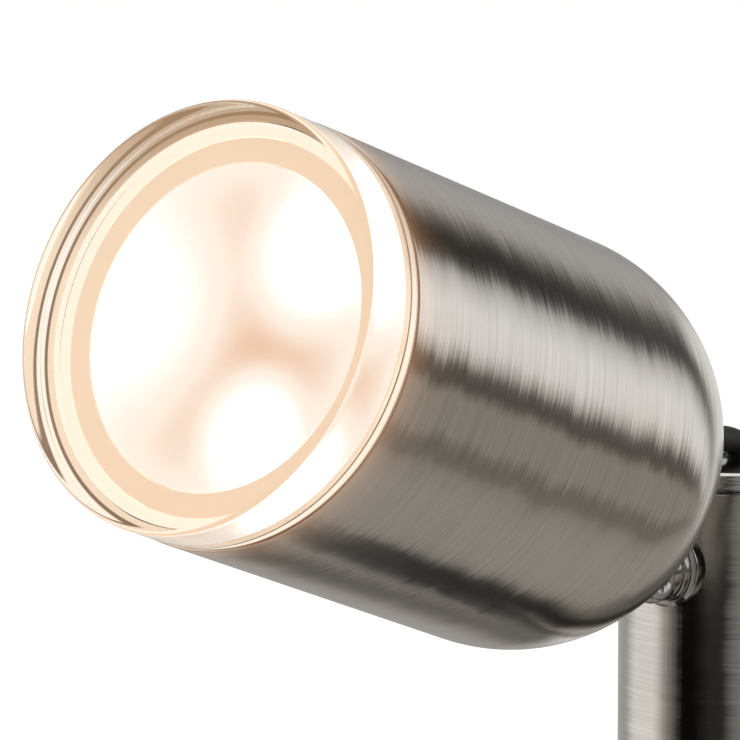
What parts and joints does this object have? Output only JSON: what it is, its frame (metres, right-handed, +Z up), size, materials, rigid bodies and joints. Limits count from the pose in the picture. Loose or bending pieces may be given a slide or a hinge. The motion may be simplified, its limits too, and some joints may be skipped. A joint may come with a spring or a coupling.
{
  "type": "track lighting fixture",
  "caption": "Bullet-shaped spotlight head with a thick clear lens, tilting on a forked neck on a swivelling round post with a track adapter.",
  "frame": {"origin": "centre of the flat underside of the adapter's insert, which faces the floor of the track channel", "axes": "+Z up along the post's axis, away from the track; the head looks towards -Y and tilts about an axis parallel to X; the adapter's length lies along Y"},
  "size_m": [0.05, 0.1617, 0.1713],
  "materials": {
    "nickel": "satin nickel, brushed around the tube",
    "polished": "polished",
    "steel": "zinc plated",
    "brass": "bare",
    "cast": "as machined",
    "black_plastic": "moulded, fine texture",
    "white_plastic": "moulded, smooth",
    "beige_plastic": "moulded, smooth",
    "rubber": "matte",
    "seal": "matte, dark brown",
    "lens_glass": "clear, polished faces and wall",
    "frosted": "frosted, lit from behind",
    "led": "phosphor, lit",
    "circuit_board": "solder mask",
    "copper": "enamelled copper wire",
    "paper": "insulating paper",
    "pad": "soft thermal pad"
  },
  "bodies": {
    "adapter": {"adapter_base": "black_plastic", "insert_plate": "black_plastic", "plate_screw_1": "steel", "plate_screw_2": "steel", "earth_contact": "brass", "adapter_cover": "black_plastic", "terminal_block": "white_plastic", "swivel_nipple": "steel", "stop_washer": "steel", "spring_washer": "steel", "pan_nut": "steel"},
    "lock_rotor": {"lock_lever": "black_plastic", "lock_cam": "steel", "lock_clip": "steel"},
    "selector_rotor": {"selector_lever": "black_plastic", "contact_carrier": "white_plastic", "contact_blade_1": "brass", "contact_blade_2": "brass"},
    "post": {"post_tube": "nickel", "post_foot": "cast", "stop_pin": "steel", "foot_screw_1": "steel", "foot_screw_2": "steel", "post_cap": "polished", "cap_grommet": "rubber", "neck": "polished", "neck_washer": "steel", "neck_nut": "steel", "pivot_screw": "steel", "pivot_nut": "steel", "friction_washer_1": "brass", "friction_washer_2": "brass", "driver_sleeve": "paper", "driver_board": "circuit_board", "driver_coil": "copper", "driver_capacitor": "black_plastic", "lead": "rubber"},
    "head": {"head_housing": "nickel", "head_knuckle": "polished", "knuckle_nut": "steel", "head_grommet": "rubber", "lens": "lens_glass", "lens_seal": "seal", "lens_bezel": "white_plastic", "diffuser_ring": "beige_plastic", "diffuser": "frosted", "reflector": "white_plastic", "led_board": "white_plastic", "led_1": "led", "led_2": "led", "led_3": "led", "thermal_pad": "pad", "heat_sink": "cast", "board_screw_1": "steel", "board_screw_2": "steel"}
  },
  "joints": [
    {"name": "post_pan", "type": "hinge", "parent": "adapter", "child": "post", "pos_m": [0, 0, 0.036], "axis": [0, 0, 1], "range_deg": [-160, 160]},
    {"name": "head_tilt", "type": "hinge", "parent": "post", "child": "head", "pos_m": [0, -0.0228, 0.1082], "axis": [-1, 0, 0], "range_deg": [-75, 25], "deforming": ["lead"]},
    {"name": "lock_turn", "type": "hinge", "parent": "adapter", "child": "lock_rotor", "pos_m": [0, -0.031, 0.0227], "axis": [0, 0, 1], "range_deg": [0, 90]},
    {"name": "selector_turn", "type": "hinge", "parent": "adapter", "child": "selector_rotor", "pos_m": [0, 0.031, 0.0227], "axis": [0, 0, 1], "range_deg": [0, 90]}
  ]
}
